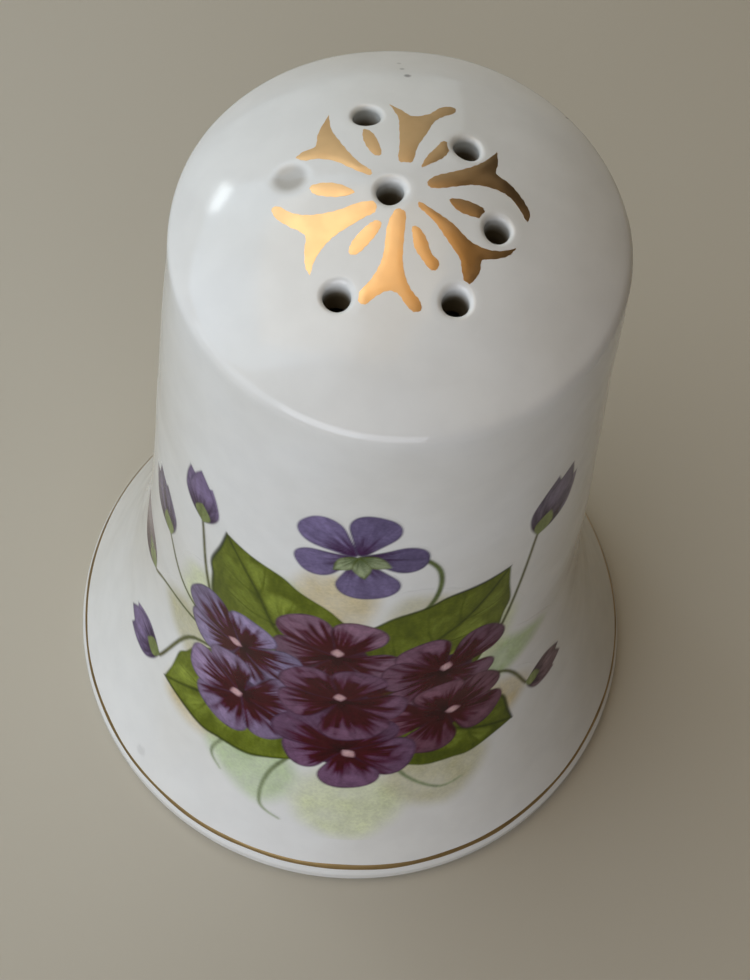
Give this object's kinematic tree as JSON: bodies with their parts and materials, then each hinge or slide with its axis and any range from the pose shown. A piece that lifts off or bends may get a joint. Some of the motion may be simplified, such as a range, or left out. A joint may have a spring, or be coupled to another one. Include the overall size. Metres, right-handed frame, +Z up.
{
  "type": "thimble-shaped shaker",
  "caption": "Glazed porcelain shaker in the shape of a tall thimble, with a flared foot, a pierced domed crown and a cork-closed fill hole in its recessed floor.",
  "frame": {"origin": "centre of the foot ring, on the surface that the shaker stands on", "axes": "+Z up through the crown; -Y towards the side that carries the violets"},
  "size_m": [0.05, 0.05, 0.068],
  "materials": {
    "porcelain": "glossy clear glaze",
    "cork": "bare cork",
    "gold": "worn fired-on gold"
  },
  "bodies": {
    "shaker": {"shaker_body": "porcelain", "gold_foot_band": "gold", "gold_crown_sprig": "gold"},
    "cork": {"cork_stopper": "cork"}
  },
  "joints": [
    {"name": "cork_pull", "type": "slide", "parent": "shaker", "child": "cork", "axis": [0, 0, -1], "range_m": [0, 0.015]}
  ]
}
